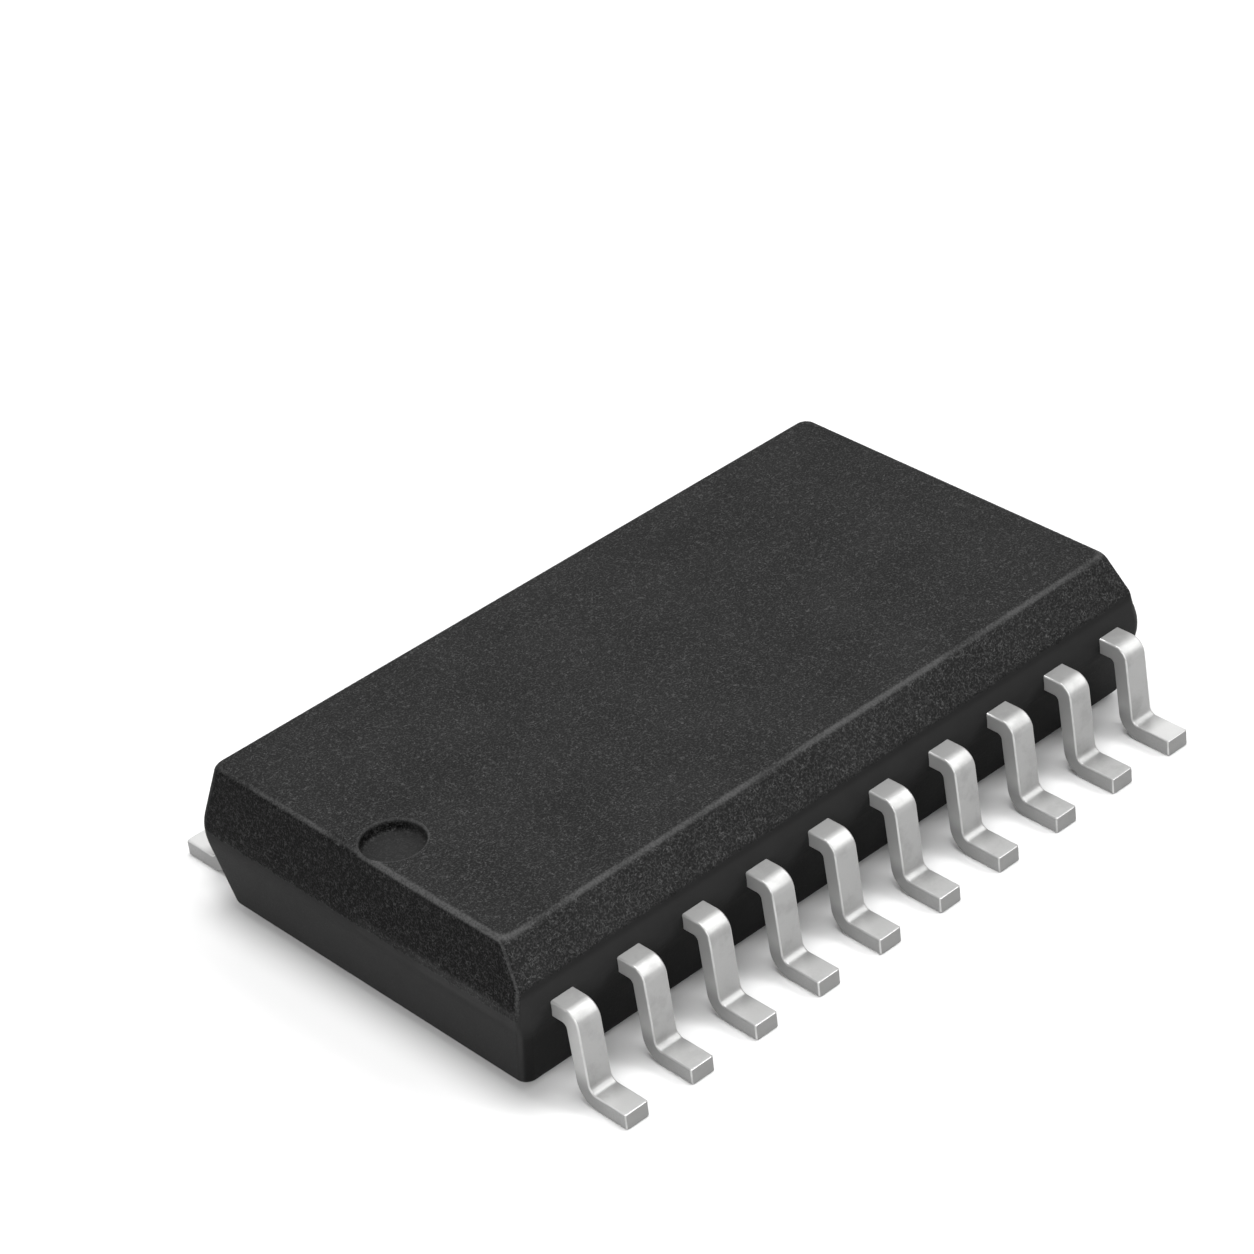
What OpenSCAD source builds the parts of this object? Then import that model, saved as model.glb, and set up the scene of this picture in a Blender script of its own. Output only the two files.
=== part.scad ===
// Wide small-outline power chip: a moulded body on two rows of bent leads, with its die inside.
// Millimetres, +Z up. The origin lies on the board plane under the middle of the body.
// Lead 1 is at the -X end of the -Y row, and the numbers run round the body against the clock.

/* [Moulded body] */
// Width of the body at the parting plane
body_w = 7.4; // [7:0.1:8]
// From the centre of an end lead to the body's end at the parting plane
end_margin = 0.785; // [0.7:0.005:0.9]
// Height of the lower half, from the underside to the parting plane
lower_h = 1.38; // [1.2:0.02:1.6]
// Height of the upper half, from the parting plane to the top
upper_h = 1.17; // [1.1:0.01:1.4]
// Gap between the board and the underside
standoff = 0.1; // [0.05:0.05:0.3]
// Draft of the upper half's long sides in degrees
side_upper_draft = 15; // [5:0.5:18]
// Draft of the lower half's long sides in degrees
side_lower_draft = 15; // [5:0.5:18]
// Draft of the upper half's ends in degrees
end_upper_draft = 12; // [5:0.5:18]
// Draft of the lower half's ends in degrees
end_lower_draft = 7; // [5:0.5:18]
// Radius of the upright corners
corner_r = 0.18; // [0.15:0.01:0.4]
// Radius of the rounded edges of the top and the underside
edge_r = 0.15; // [0.05:0.01:0.2]

/* [Lead 1 marks] */
// How far the chamfer over leads 1 to 10 reaches into the top
chamfer_w = 0.2; // [0.15:0.01:0.5]
// How far the chamfer reaches down the side
chamfer_h = 0.68; // [0.4:0.01:0.8]
// Diameter of the index dimple
dimple_d = 1; // [0.6:0.05:1.4]
// Depth of the index dimple
dimple_depth = 0.2; // [0.05:0.01:0.3]
// Land between the dimple and the end edge of the top
dimple_land = 0.03; // [0.02:0.01:0.5]
// How far the dimple sits off the middle, towards leads 1 to 10
dimple_off = 0.2; // [0:0.05:1]

/* [Leads] */
// Number of leads in each row
row_lead_count = 10; // [8:1:14]
// Distance between the centres of neighbouring leads
pitch = 1.27; // [1.2:0.01:1.4]
// Width of a lead
lead_w = 0.44; // [0.33:0.01:0.51]
// Thickness of the lead sheet
lead_t = 0.28; // [0.2:0.01:0.32]
// From the body's side to the tip of a toe
lead_reach = 1.3; // [1.25:0.01:1.6]
// Length of the flat sole under a foot
foot_l = 0.61; // [0.4:0.01:0.65]
// Lean of the shank from upright in degrees
shank_lean = 4; // [0:0.5:8]
// Inside radius of the bend under the shoulder
shoulder_r = 0.08; // [0.07:0.01:0.15]
// Outside radius of the bend over the shoulder
shoulder_out_r = 0.26; // [0.2:0.01:0.36]
// Inside radius of the bend above the heel
heel_r = 0.12; // [0.07:0.01:0.15]

/* [Inside the mould] */
// Straight stretch of a lead inside the body's side
root_l = 0.55; // [0.4:0.05:0.7]
// Width of a finger at its tip
tip_w = 0.3; // [0.2:0.01:0.36]
// Gap between the fingers' tips and the die pad
tip_gap = 0.25; // [0.2:0.05:0.4]
// From an end of the die pad to that end of the body
pad_end = 3.1; // [2.7:0.1:3.3]
// Width of the die pad
pad_w = 3; // [2.6:0.1:3.4]
// How far the die pad lies below the fingers
pad_downset = 0.24; // [0.1:0.02:0.35]
// Width of a tie bar
tie_w = 0.5; // [0.3:0.05:0.8]
// Mould wall left between a tie bar and the body's end
tie_cover = 0.3; // [0.2:0.05:0.5]
// Length of the level stretch at a tie bar's outer end
tie_flat = 1; // [0.6:0.1:1.6]
// Length of the silicon die
die_l = 4; // [3:0.1:5]
// Width of the silicon die
die_w = 2.2; // [1.6:0.1:2.4]
// Thickness of the silicon die
die_t = 0.28; // [0.2:0.02:0.4]
// Thickness of the glue under the die
glue_t = 0.03; // [0.02:0.01:0.06]
// How far the glue squeezes out past the die
glue_edge = 0.08; // [0.04:0.02:0.12]
// Diameter of a bond wire
wire_d = 0.05; // [0.03:0.01:0.06]
// Diameter of the ball that starts a bond wire
ball_d = 0.11; // [0.09:0.01:0.14]
// Height of that ball
ball_h = 0.03; // [0.02:0.01:0.05]
// From a die edge to the bonds along it
bond_inset = 0.15; // [0.1:0.01:0.25]
// From a finger's tip to the bond on it
stitch_inset = 0.25; // [0.15:0.05:0.4]
// Height of a wire's loop over the line between its bonds
wire_loop = 0.35; // [0.25:0.01:0.45]

/* [Hidden] */
$fn = 48;
lead_count = 2 * row_lead_count;
body_l = (row_lead_count - 1) * pitch + 2 * end_margin;
parting_z = standoff + lower_h;
top_z = parting_z + upper_h;
end_top_x = body_l / 2 - upper_h * tan(end_upper_draft);
end_low_x = body_l / 2 - lower_h * tan(end_lower_draft);
side_top_y = body_w / 2 - upper_h * tan(side_upper_draft);
side_low_y = body_w / 2 - lower_h * tan(side_lower_draft);
lead_top = parting_z + lead_t / 2;
lead_low = parting_z - lead_t / 2;
toe_y = body_w / 2 + lead_reach;
root_y = body_w / 2 - root_l;
tip_y = pad_w / 2 + tip_gap;
pad_l = body_l - 2 * pad_end;
tip_pitch = pad_l / (row_lead_count - 1);
pad_top = lead_top - pad_downset;
glue_top = pad_top + glue_t;
die_top = glue_top + die_t;
bond_pitch = (die_l - 2 * bond_inset) / (row_lead_count - 1);
bond_y = die_w / 2 - bond_inset;
stitch_y = tip_y + stitch_inset;
stitch_share = stitch_inset / (root_y - tip_y);
// Overrun of a solid past the faces that it shapes
past = 1;
// Angle in degrees at which a rounding arc crosses the lines that it joins
arc_cross = 5;

body_colour = [0.18, 0.18, 0.18];
tin_colour = [0.78, 0.78, 0.77];
copper_colour = [0.72, 0.45, 0.3];
glue_colour = [0.6, 0.6, 0.58];
silicon_colour = [0.35, 0.38, 0.45];
wire_colour = [0.85, 0.68, 0.3];

function lead_name(i) = str("lead_", i < 10 ? "0" : "", i);

// Place of lead i in its row, from -X to +X, and the side that it stands on
function place(i) = i <= row_lead_count ? i : lead_count + 1 - i;
function side(i) = i <= row_lead_count ? -1 : 1;
function row_x(p, step) = (p - (row_lead_count + 1) / 2) * step;
function unit(v) = v / norm(v);
function mix(a, b, t) = a + (b - a) * t;

// Kite round the corner p between its neighbours a and b, less the disc that rounds the corner to radius r
module corner_tip(a, p, b, r) {
    to_a = unit(a - p);
    to_b = unit(b - p);
    half_angle = acos(to_a * to_b) / 2;
    reach = r / tan(half_angle);
    centre = p + unit(to_a + to_b) * r / sin(half_angle);
    difference() {
        polygon([
            centre,
            2 * (p + to_a * reach) - centre,
            2 * p - centre,
            2 * (p + to_b * reach) - centre
        ]);
        translate(centre)
            circle(r / cos(arc_cross));
    }
}

// Closed outline with the listed corners rounded to the radius of the body's edges
module round_edged(outline, corners) {
    count = len(outline);
    difference() {
        polygon(outline);
        for (k = corners)
            corner_tip(outline[(k + count - 1) % count], outline[k], outline[(k + 1) % count], edge_r);
    }
}

// The body seen along Y, with its drafted ends
module front_outline() {
    round_edged([
        [-end_low_x, standoff],
        [end_low_x, standoff],
        [body_l / 2, parting_z],
        [end_top_x, top_z],
        [-end_top_x, top_z],
        [-body_l / 2, parting_z]
    ], [0, 1, 3, 4]);
}

// The body seen along X, with its drafted sides and the chamfer over leads 1 to 10
module end_outline() {
    chamfer_y = body_w / 2 - (upper_h - chamfer_h) * tan(side_upper_draft);
    round_edged([
        [-side_low_y, standoff],
        [side_low_y, standoff],
        [body_w / 2, parting_z],
        [side_top_y, top_z],
        [chamfer_w - side_top_y, top_z],
        [-chamfer_y, top_z - chamfer_h],
        [-body_w / 2, parting_z]
    ], [0, 1, 3, 4]);
}

// Cut that rounds the +X +Y corner upwards from the parting plane and leans with the walls
module corner_cut(h, end_draft, side_draft) {
    multmatrix([
        [1, 0, -tan(end_draft), 0],
        [0, 1, -tan(side_draft), 0],
        [0, 0, 1, 0],
        [0, 0, 0, 1]
    ])
        linear_extrude(h + past)
            corner_tip([0, body_w / 2], [body_l / 2, body_w / 2], [body_l / 2, 0], corner_r);
}

// Both mould halves with drafted walls, round edges and round corners
module mould_block() {
    difference() {
        intersection() {
            rotate([90, 0, 0])
                linear_extrude(body_w + 2 * past, center = true)
                    front_outline();
            rotate([90, 0, 90])
                linear_extrude(body_l + 2 * past, center = true)
                    end_outline();
        }
        for (flip_x = [0, 1], flip_y = [0, 1])
            translate([0, 0, parting_z])
                mirror([flip_x, 0, 0])
                    mirror([0, flip_y, 0]) {
                        corner_cut(upper_h, end_upper_draft, side_upper_draft);
                        mirror([0, 0, 1])
                            corner_cut(lower_h, end_lower_draft, side_lower_draft);
                    }
    }
}

// Shallow round mark at the lead 1 end of the top
module dimple_cut() {
    translate([-end_top_x + dimple_land + dimple_d / 2, -dimple_off, top_z - dimple_depth])
        cylinder(d = dimple_d, h = dimple_depth + past);
}

module moulded_body() {
    color(body_colour)
        difference() {
            mould_block();
            dimple_cut();
            for (i = [1 : lead_count])
                lead_solid(i);
            pad_solid();
            glue_solid();
            die_solid();
            wire_solids();
        }
}

// Bent strip of a lead seen along the body, from its root to its toe
module lead_section() {
    // Angle between the sole and the shank
    heel_angle = 90 + shank_lean;
    heel = [toe_y - foot_l - (heel_r + lead_t) / tan(heel_angle / 2), 0];
    // Step across the shank's thickness along the board plane, and the shank's lean per unit of height
    across = lead_t / cos(shank_lean);
    lean = tan(shank_lean);
    under = [heel[0] - lead_low * lean, lead_low];
    crest = [heel[0] + across - lead_top * lean, lead_top];
    instep = [heel[0] + across - lead_t * lean, lead_t];
    root_low = [root_y, lead_low];
    root_top = [root_y, lead_top];
    toe_top = [toe_y, lead_t];
    toe_low = [toe_y, 0];
    difference() {
        union() {
            polygon([root_low, under, heel, toe_low, toe_top, instep, crest, root_top]);
            corner_tip(root_low, under, heel, shoulder_r);
            corner_tip(toe_top, instep, crest, heel_r);
        }
        corner_tip(instep, crest, root_top, shoulder_out_r);
        corner_tip(under, heel, toe_low, heel_r + lead_t);
    }
}

// Flat finger of the lead at place p, from the root to the tip beside the pad
module finger_outline(p) {
    x = row_x(p, pitch);
    tip_x = row_x(p, tip_pitch);
    polygon([
        [x - lead_w / 2, root_y],
        [x + lead_w / 2, root_y],
        [tip_x + tip_w / 2, tip_y],
        [tip_x - tip_w / 2, tip_y]
    ]);
}

module lead_solid(i) {
    mirror([0, side(i) < 0 ? 1 : 0, 0]) {
        translate([row_x(place(i), pitch), 0, 0])
            rotate([90, 0, 90])
                linear_extrude(lead_w, center = true)
                    lead_section();
        translate([0, 0, lead_low])
            linear_extrude(lead_t)
                finger_outline(place(i));
    }
}

module lead(i) {
    color(tin_colour)
        lead_solid(i);
}

// Pad with a stepped tie bar to each end
module pad_solid() {
    end_x = body_l / 2 - tie_cover;
    step_x = end_x - tie_flat;
    foot_x = step_x - pad_downset;
    pad_low = pad_top - lead_t;
    tie_top = [[foot_x, pad_top], [step_x, lead_top], [end_x, lead_top]];
    tie_low = [[end_x, lead_low], [step_x, lead_low], [foot_x, pad_low]];
    translate([-pad_l / 2, -pad_w / 2, pad_low])
        cube([pad_l, pad_w, lead_t]);
    for (turn = [0, 180])
        rotate([90, 0, turn])
            linear_extrude(tie_w, center = true)
                polygon(concat([[0, pad_low], [0, pad_top]], tie_top, tie_low));
}

module die_pad() {
    color(copper_colour)
        pad_solid();
}

module glue_solid() {
    l = die_l + 2 * glue_edge;
    w = die_w + 2 * glue_edge;
    translate([-l / 2, -w / 2, pad_top])
        cube([l, w, glue_t]);
}

module die_attach() {
    color(glue_colour)
        glue_solid();
}

module die_solid() {
    translate([-die_l / 2, -die_w / 2, glue_top])
        cube([die_l, die_w, die_t]);
}

module die() {
    color(silicon_colour)
        die_solid();
}

// One wire in its own upright plane: a ball on the die and an arc that runs on into the finger
module wire(span, fall) {
    chord = norm([span, fall]);
    loop_r = (chord * chord / 4 + wire_loop * wire_loop) / (2 * wire_loop);
    overrun = atan2(2 * wire_d, loop_r);
    half_angle = asin(chord / 2 / loop_r) + overrun;
    cylinder(d = ball_d, h = ball_h);
    rotate([0, atan2(fall, span), 0])
        translate([chord / 2, 0, wire_loop - loop_r])
            rotate([90, half_angle - 90, 0])
                rotate_extrude(angle = 2 * half_angle)
                    translate([loop_r, 0])
                        circle(d = wire_d);
}

// A wire from the die to the finger of each lead, cut off level on both
module wire_solids() {
    difference() {
        for (i = [1 : lead_count]) {
            p = place(i);
            from = [row_x(p, bond_pitch), side(i) * bond_y];
            to = [mix(row_x(p, tip_pitch), row_x(p, pitch), stitch_share), side(i) * stitch_y];
            translate([from[0], from[1], die_top])
                rotate([0, 0, atan2(to[1] - from[1], to[0] - from[0])])
                    wire(norm(to - from), die_top - lead_top);
        }
        die_solid();
        for (row = [-1, 1])
            translate([-body_l / 2, row * (root_y + tip_y) / 2 - (root_y - tip_y) / 2, lead_low])
                cube([body_l, root_y - tip_y, lead_t]);
    }
}

module bond_wires() {
    color(wire_colour)
        wire_solids();
}

moulded_body();
for (i = [1 : lead_count]) {
    lead(i);
}
die_pad();
die_attach();
die();
bond_wires();
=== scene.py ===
"""Dresses a small-outline power converter chip and sets it on a pale studio floor.

Sizes in the classes are in millimetres, as on a package drawing. Meshes are built in metres in the frame of
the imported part: +X along the body from lead 1 to lead 10, -Y towards leads 1 to 10, +Z up from the board.
"""
from __future__ import annotations

import logging
import math
from dataclasses import dataclass, field
from enum import Enum
from typing import Any, Mapping, NamedTuple, Sequence, Union

import bpy
from mathutils import Matrix, Vector


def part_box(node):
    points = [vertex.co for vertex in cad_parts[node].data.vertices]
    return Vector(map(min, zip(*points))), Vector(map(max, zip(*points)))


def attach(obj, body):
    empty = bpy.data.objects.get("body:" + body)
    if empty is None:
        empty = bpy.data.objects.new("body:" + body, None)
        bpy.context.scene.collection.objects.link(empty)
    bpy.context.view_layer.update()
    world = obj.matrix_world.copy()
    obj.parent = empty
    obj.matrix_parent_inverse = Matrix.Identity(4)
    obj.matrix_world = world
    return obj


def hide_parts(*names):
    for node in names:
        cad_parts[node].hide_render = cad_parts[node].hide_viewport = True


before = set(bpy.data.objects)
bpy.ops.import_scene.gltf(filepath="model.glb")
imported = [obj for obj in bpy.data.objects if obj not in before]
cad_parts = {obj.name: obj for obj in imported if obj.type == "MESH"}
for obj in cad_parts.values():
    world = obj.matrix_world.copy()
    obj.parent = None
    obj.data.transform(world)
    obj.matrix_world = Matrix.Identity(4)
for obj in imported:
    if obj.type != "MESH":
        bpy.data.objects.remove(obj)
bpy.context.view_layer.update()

log = logging.getLogger("chip")

MM = 0.001
ENLARGED = 100000.0
FULL_WEIGHT = 100
NOISE_MEAN = 0.5
BODY = "root"
PHOTO_PIXELS = 1254

Colour = tuple[float, float, float]
Point2 = tuple[float, float]
Span = tuple[float, float]


class Side(Enum):
    """The two long sides of the body, each with the turn that its row of leads takes."""

    NEAR = ("near", math.pi, range(1, 11))
    FAR = ("far", 0.0, range(11, 21))

    def __init__(self, label: str, turn: float, leads: range) -> None:
        """Keeps what a side is told apart by.

        Args:
            label: word for the side in the names of pieces.
            turn: turn about +Z in radians.
            leads: numbers of its leads.
        """
        self.label = label
        self.turn = turn
        self.leads = leads

    def nodes(self) -> list[str]:
        """Names the CAD nodes of the side's leads."""
        return [f"lead_{number:02d}" for number in self.leads]


class Slot(Enum):
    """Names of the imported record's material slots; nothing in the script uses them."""

    MOULD = "mould"
    TIN = "tin"


class Sock:
    """A socket that takes part in Python expressions by adding Math nodes to its tree."""

    def __init__(self, nodes: Nodes, socket: bpy.types.NodeSocket) -> None:
        """Wraps a socket of the tree that a builder works on."""
        self.nodes = nodes
        self.socket = socket

    def math(self, operation: str, *others: Value) -> Sock:
        """Adds a Math node on this value and the others."""
        return self.nodes.maths(operation, self, *others)

    def __add__(self, other: Value) -> Sock:
        """Adds a value."""
        return self.math("ADD", other)

    __radd__ = __add__

    def __sub__(self, other: Value) -> Sock:
        """Takes a value away."""
        return self.math("SUBTRACT", other)

    def __rsub__(self, other: Value) -> Sock:
        """Is taken away from a value."""
        return self.nodes.maths("SUBTRACT", other, self)

    def __mul__(self, other: Value) -> Sock:
        """Multiplies by a value."""
        return self.math("MULTIPLY", other)

    __rmul__ = __mul__

    def __truediv__(self, other: Value) -> Sock:
        """Divides by a value."""
        return self.math("DIVIDE", other)

    def __rtruediv__(self, other: Value) -> Sock:
        """Divides a value."""
        return self.nodes.maths("DIVIDE", other, self)

    def __pow__(self, other: Value) -> Sock:
        """Raises to a power."""
        return self.math("POWER", other)

    def __abs__(self) -> Sock:
        """Drops the sign."""
        return self.math("ABSOLUTE")

    def smooth(self, low: Value, high: Value) -> Sock:
        """Runs smoothly from 0 at low to 1 at high."""
        span = {"Value": self, "From Min": low, "From Max": high}
        return self.nodes.add("ShaderNodeMapRange", {"interpolation_type": "SMOOTHSTEP"}, span)

    def about(self, base: float, band: Span) -> Sock:
        """Runs smoothly from 0 to 1 across a band that is given from a base."""
        return self.smooth(base + band[0], base + band[1])

    def between(self, first: Value, second: Value) -> Sock:
        """Runs from the first value at 0 to the second at 1."""
        return first + self * (second - first)


Value = Union[Sock, float]


class Place(NamedTuple):
    """A point on an object in millimetres, whole and in its parts."""

    point: Sock
    x: Sock
    y: Sock
    z: Sock


class Nodes:
    """Builds one shader or geometry tree."""

    def __init__(self, tree: bpy.types.NodeTree) -> None:
        """Empties a tree and takes it over."""
        self.tree = tree
        tree.nodes.clear()

    def add(
        self,
        kind: str,
        settings: Mapping[str, Any] | None = None,
        sockets: Mapping[str | int, Any] | None = None,
        out: str | int = 0,
    ) -> Sock:
        """Adds a node, sets it up and fills its sockets.

        Args:
            kind: type of the node.
            settings: properties of the node, set before its sockets are looked up.
            sockets: values or links by the socket's name, identifier or number.
            out: name or number of the output to return.

        Returns:
            The chosen output, or the first input of a node that has no output.
        """
        node = self.tree.nodes.new(kind)
        for name, value in (settings or {}).items():
            setattr(node, name, value)
        for key, value in (sockets or {}).items():
            self.fill(self.find(node.inputs, key), value)
        return Sock(self, self.find(node.outputs, out) if len(node.outputs) else node.inputs[0])

    def maths(self, operation: str, *values: Value) -> Sock:
        """Adds a Math node on values in the order of its sockets."""
        return self.add("ShaderNodeMath", {"operation": operation}, dict(enumerate(values)))

    def mix(self, share: Value, first: Any, second: Any) -> Sock:
        """Mixes two colours or links, from the first at 0 to the second at 1."""
        sockets = {"Factor_Float": share, "A_Color": rgba(first), "B_Color": rgba(second)}
        return self.add("ShaderNodeMix", {"data_type": "RGBA"}, sockets, "Result_Color")

    def scale(self, colour: Any, factor: Value) -> Sock:
        """Multiplies a colour, a vector or a link to one."""
        return self.add("ShaderNodeVectorMath", {"operation": "SCALE"}, {0: colour, "Scale": factor})

    def split(self, vector: Sock, axes: str) -> list[Sock]:
        """Takes the named parts of a vector."""
        return [self.add("ShaderNodeSeparateXYZ", {}, {0: vector}, axis) for axis in axes]

    def join(self, **parts: Sock) -> Sock:
        """Makes a vector of its named parts, with 0 for the others."""
        return self.add("ShaderNodeCombineXYZ", {}, parts)

    def noise(self, point: Sock, per_mm: float, detail: float = 2.0, **sockets: float) -> Sock:
        """Adds a noise of about 0 to 1, with so many features in a millimetre and so many finer layers."""
        values = {"Vector": point, "Scale": per_mm, "Detail": detail}
        return self.add("ShaderNodeTexNoise", {}, {**values, **sockets})

    def place(self) -> Place:
        """Gives the place on the object."""
        point = self.scale(self.add("ShaderNodeTexCoord", out="Object"), 1 / MM)
        return Place(point, *self.split(point, "XYZ"))

    def bump(self, height: Sock, depth: float) -> Sock:
        """Turns a relief from 0 to 1 into a normal."""
        return self.add("ShaderNodeBump", {}, {"Strength": 1.0, "Distance": depth * MM, "Height": height})

    def surface(self, sockets: Mapping[str, Any]) -> None:
        """Ends a material in a Principled shader."""
        shade = self.add("ShaderNodeBsdfPrincipled", {}, sockets, "BSDF")
        self.add("ShaderNodeOutputMaterial", {}, {"Surface": shade})

    def fill(self, socket: bpy.types.NodeSocket, value: Any) -> None:
        """Links a socket or sets its value.

        Args:
            socket: input socket.
            value: a wrapped socket to link, or the value to set.
        """
        if isinstance(value, Sock):
            self.tree.links.new(value.socket, socket)
        else:
            socket.default_value = value

    @staticmethod
    def find(sockets: Any, key: str | int) -> bpy.types.NodeSocket:
        """Finds a socket.

        Args:
            sockets: inputs or outputs of a node.
            key: the socket's number, identifier or name.

        Returns:
            The first socket that is switched on and fits.
        """
        if isinstance(key, int):
            return sockets[key]
        for test in ("identifier", "name"):
            for socket in sockets:
                if socket.enabled and getattr(socket, test) == key:
                    return socket
        raise KeyError(key)


def rgba(colour: Any) -> Any:
    """Adds full opacity to a colour, and passes a link through."""
    return colour if isinstance(colour, Sock) else (*colour, 1.0)


def grey(level: float) -> Colour:
    """Gives a neutral colour."""
    return level, level, level


def shader(name: str) -> tuple[bpy.types.Material, Nodes, Place]:
    """Makes an empty node material.

    Args:
        name: name of the material.

    Returns:
        The material, the builder of its tree and the place on the object.
    """
    material = bpy.data.materials.new(name)
    material.use_nodes = True
    nodes = Nodes(material.node_tree)
    return material, nodes, nodes.place()


class Grain(NamedTuple):
    """Textures of the mould's grain, each from 0 to 1."""

    swirl: Sock
    wisps: Sock
    specks: Sock
    cloud: Sock


class Zones(NamedTuple):
    """Zones of the body, each a share from 0 to 1, after the gap to the nearest end in millimetres."""

    end_gap: Sock
    near: Sock
    top: Sock
    floor: Sock
    lip: Sock
    level: Sock
    grained: Sock


@dataclass(frozen=True)
class MouldFinish:
    """Matte black epoxy: leathery on top and chamfer, smoother on the lower walls, with painted light and
    shade: face colours set to how light falls, a painted shadow low on the near side, a painted shade round
    the dimple's foot and a painted highlight on the rims.
    """

    name: str = "black_epoxy"
    # The grained and smooth zones are real, but their colours are lit and shaded copies of one epoxy, set
    # face by face to how light falls: painted light and shade
    top_colour: Colour = grey(0.0205)
    chamfer_colour: Colour = grey(0.0215)
    wall_colour: Colour = grey(0.0098)
    end_colour: Colour = grey(0.0110)
    side_colour: Colour = grey(0.0155)
    # Painted highlight: the pale colour that the rims, the near upright corner and the dimple's lip take
    rim_highlight_colour: Colour = grey(0.055)
    top_contrast: float = 1.9
    chamfer_contrast: float = 2.0
    end_contrast: float = 3.2
    dimple_contrast: float = 0.8
    wisps_per_mm: float = 12.0
    wisp_fineness: float = 0.55
    wisp_twist: float = 0.6
    wisp_width: float = 0.045
    wisp_base: float = 0.4
    wisp_gain: float = 0.8
    gates_per_mm: float = 10.8
    gate: Span = (0.36, 0.58)
    specks_per_mm: float = 34.0
    speck: Span = (0.42, 0.75)
    speck_gain: float = 0.5
    fleck_mean: float = 0.3
    clouds_per_mm: float = 0.7
    cloud_gain: float = 0.4
    darkest: float = 0.15
    streaks_per_mm: float = 2.2
    streak_tone: Span = (0.85, 1.15)
    # Painted shadow: the near side's smooth wall darkens below the parting plane, where the leads shade it
    side_shadow: float = 0.70
    side_shadow_band: Span = (0.0, -0.4)
    # Darker in a band just below the chamfer's lower edge on the near side
    chamfer_band_darkening: float = 0.30
    chamfer_band_rise: Span = (-0.14, -0.04)
    chamfer_band_fall: Span = (0.06, 0.0)
    near_band: Span = (0.1, -0.1)
    end_band: Span = (0.02, 0.06)
    underside_band: Span = (0.02, 0.002)
    top_band: Span = (-0.02, -0.002)
    # Painted shade: the dimple's floor keeps the walls' tone in a ring by its wall
    dimple_floor_shade_band: Span = (0.03, -0.06)
    lip_rise: Span = (-0.005, 0.01)
    lip_fall: Span = (0.01, 0.0)
    ragged: float = 0.16
    ragged_band: Span = (-0.02, 0.02)
    # Bands, strengths and patchiness of the painted highlight on the rims, the near upright corner and the
    # dimple's lip
    rim_band: Span = (-0.075, -0.03)
    corner_side: Span = (0.0, -0.1)
    corner_rise: Span = (0.002, 0.012)
    corner_fall: Span = (0.02, 0.045)
    corner_height: Span = (-0.1, 0.3)
    corner_highlight: Span = (0.2, 0.65)
    lip_band: Span = (-0.06, -0.03)
    lip_highlight: float = 0.55
    patch: Span = (0.35, 0.6)
    highlight_speckle: Span = (0.6, 1.0)
    highlight_cloud: Span = (0.35, 1.0)
    grain_depth: float = 0.010
    grain_relief: Span = (0.12, 1.0)
    roughness: Span = (0.50, 0.62)
    speck_roughness: float = 0.12
    specular: float = 0.05

    def grain(self, nodes: Nodes, point: Sock) -> Grain:
        """Lays the textures of the grain.

        Args:
            nodes: builder of the material's tree.
            point: place in millimetres.

        Returns:
            The textures.
        """
        curl = {"Roughness": self.wisp_fineness, "Distortion": self.wisp_twist}
        swirl = nodes.noise(point, self.wisps_per_mm, **curl)
        gate = nodes.noise(point, self.gates_per_mm, detail=1.0).smooth(*self.gate)
        wisps = (1 - abs(swirl - NOISE_MEAN).smooth(0.0, self.wisp_width)) * gate
        specks = nodes.noise(point, self.specks_per_mm, detail=1.0)
        return Grain(swirl, wisps, specks, nodes.noise(point, self.clouds_per_mm))

    def zones(self, body: MouldedBody, place: Place, swirl: Sock) -> Zones:
        """Parts the body into zones.

        Args:
            body: the body, whose sizes place the zones.
            place: place on the body.
            swirl: the texture that makes the grain's lower edge ragged.

        Returns:
            The zones.
        """
        _, x, y, z = place
        end_gap = body.half_l - abs(x) - body.ends.lean(z - body.parting_z)
        near = y.smooth(*self.near_band) * end_gap.smooth(*self.end_band)
        underside = z.about(body.low_z, self.underside_band)
        top = z.about(body.top_z, self.top_band)
        centre, dimple_r = body.dimple_centre(), body.dimple_d / 2
        off_centre = ((x - centre.x) ** 2 + (y - centre.y) ** 2) ** 0.5
        # Only the middle of the dimple's floor takes the top's tone; the ring by its wall keeps the walls'
        # tone, a painted shade at the dimple's foot
        floor = off_centre.about(dimple_r, self.dimple_floor_shade_band) * z.smooth(body.parting_z, body.chamfer_z)
        lip_end = off_centre.about(dimple_r + body.dimple_rim, self.lip_fall)
        lip = off_centre.about(dimple_r, self.lip_rise) * lip_end
        level = top.math("MAXIMUM", floor).math("MAXIMUM", underside)
        over = z - near.between(body.parting_z, body.chamfer_z) + self.ragged * (swirl - NOISE_MEAN)
        grained = over.smooth(*self.ragged_band).math("MAXIMUM", underside)
        return Zones(end_gap, near, top, floor, lip, level, grained)

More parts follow.
